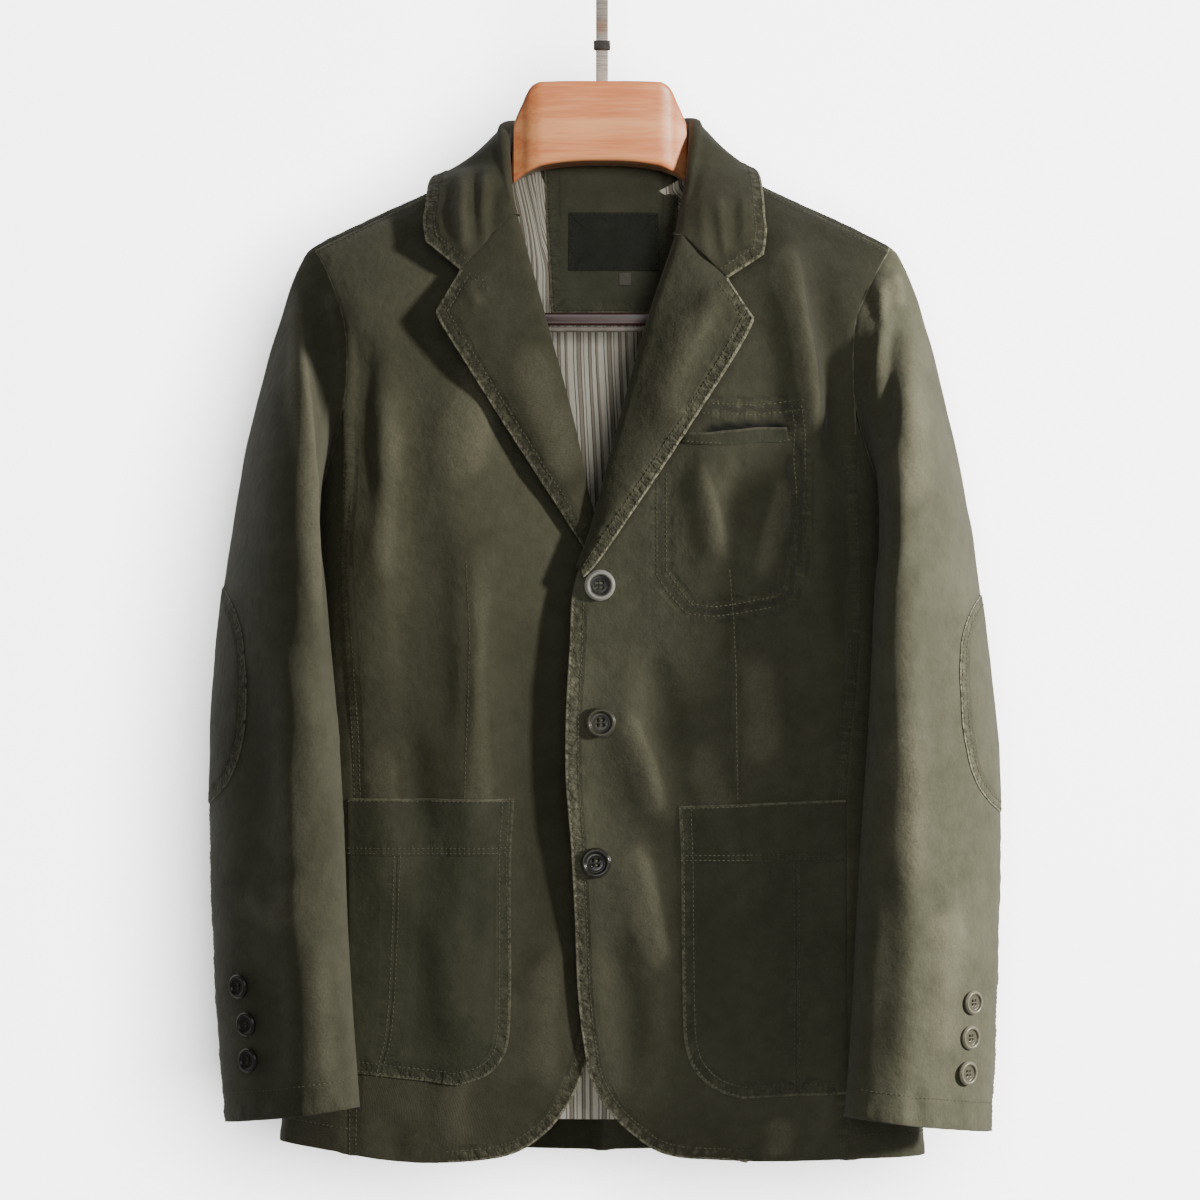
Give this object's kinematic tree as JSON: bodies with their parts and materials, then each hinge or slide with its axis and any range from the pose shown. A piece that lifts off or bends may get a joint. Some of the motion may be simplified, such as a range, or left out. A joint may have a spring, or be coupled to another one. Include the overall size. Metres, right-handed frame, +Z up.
{
  "type": "blazer on a hanger",
  "caption": "Casual cotton twill blazer with notched lapels, patch pockets and elbow patches, buttoned, hung on a contoured wooden hanger with a trouser bar.",
  "frame": {"origin": "inside top of the hanger's hook, where the rail bears", "axes": "+X to the wearer's left along the shoulders, -Y the way the chest faces, +Z up"},
  "size_m": [0.5907, 0.1795, 0.8928],
  "materials": {
    "back_left_material": "washed cotton twill",
    "back_neck_facing_material": "washed cotton twill",
    "back_right_material": "washed cotton twill",
    "bar_grip_material": "pale ribbed grip",
    "chest_welt_material": "washed cotton twill",
    "collar_material": "washed cotton twill",
    "collar_stand_material": "washed cotton twill",
    "cuff_button_left_1_material": "horn look, glossy",
    "cuff_button_left_2_material": "horn look, glossy",
    "cuff_button_left_3_material": "horn look, glossy",
    "cuff_button_right_1_material": "horn look, glossy",
    "cuff_button_right_2_material": "horn look, glossy",
    "cuff_button_right_3_material": "horn look, glossy",
    "elbow_patch_left_material": "washed cotton twill",
    "elbow_patch_right_material": "washed cotton twill",
    "front_button_bottom_material": "horn look, glossy",
    "front_button_middle_material": "horn look",
    "front_button_top_material": "horn look, worn",
    "front_left_material": "washed cotton twill",
    "front_right_material": "washed cotton twill",
    "hanger_material": "clear lacquer",
    "hook_material": "satin",
    "hook_ring_material": "dark, satin",
    "label_patch_material": "plain woven patch",
    "lapel_left_material": "washed cotton twill",
    "lapel_right_material": "washed cotton twill",
    "lining_back_material": "striped lining",
    "pocket_band_left_material": "washed cotton twill",
    "pocket_band_right_material": "washed cotton twill",
    "pocket_front_left_material": "washed cotton twill",
    "pocket_front_right_material": "washed cotton twill",
    "pocket_side_left_material": "washed cotton twill",
    "pocket_side_right_material": "washed cotton twill",
    "side_left_material": "washed cotton twill",
    "side_right_material": "washed cotton twill",
    "size_tab_material": "plain woven tab",
    "topsleeve_left_material": "washed cotton twill",
    "topsleeve_right_material": "washed cotton twill",
    "trouser_bar_material": "dark red stain, lacquered",
    "undersleeve_left_material": "washed cotton twill",
    "undersleeve_right_material": "washed cotton twill"
  },
  "bodies": {
    "root": {"back_left": "back_left_material", "back_neck_facing": "back_neck_facing_material", "back_right": "back_right_material", "bar_grip": "bar_grip_material", "chest_welt": "chest_welt_material", "collar": "collar_material", "collar_stand": "collar_stand_material", "cuff_button_left_1": "cuff_button_left_1_material", "cuff_button_left_2": "cuff_button_left_2_material", "cuff_button_left_3": "cuff_button_left_3_material", "cuff_button_right_1": "cuff_button_right_1_material", "cuff_button_right_2": "cuff_button_right_2_material", "cuff_button_right_3": "cuff_button_right_3_material", "elbow_patch_left": "elbow_patch_left_material", "elbow_patch_right": "elbow_patch_right_material", "front_button_bottom": "front_button_bottom_material", "front_button_middle": "front_button_middle_material", "front_button_top": "front_button_top_material", "front_left": "front_left_material", "front_right": "front_right_material", "hanger": "hanger_material", "hook": "hook_material", "hook_ring": "hook_ring_material", "label_patch": "label_patch_material", "lapel_left": "lapel_left_material", "lapel_right": "lapel_right_material", "lining_back": "lining_back_material", "pocket_band_left": "pocket_band_left_material", "pocket_band_right": "pocket_band_right_material", "pocket_front_left": "pocket_front_left_material", "pocket_front_right": "pocket_front_right_material", "pocket_side_left": "pocket_side_left_material", "pocket_side_right": "pocket_side_right_material", "side_left": "side_left_material", "side_right": "side_right_material", "size_tab": "size_tab_material", "topsleeve_left": "topsleeve_left_material", "topsleeve_right": "topsleeve_right_material", "trouser_bar": "trouser_bar_material", "undersleeve_left": "undersleeve_left_material", "undersleeve_right": "undersleeve_right_material"}
  },
  "joints": []
}
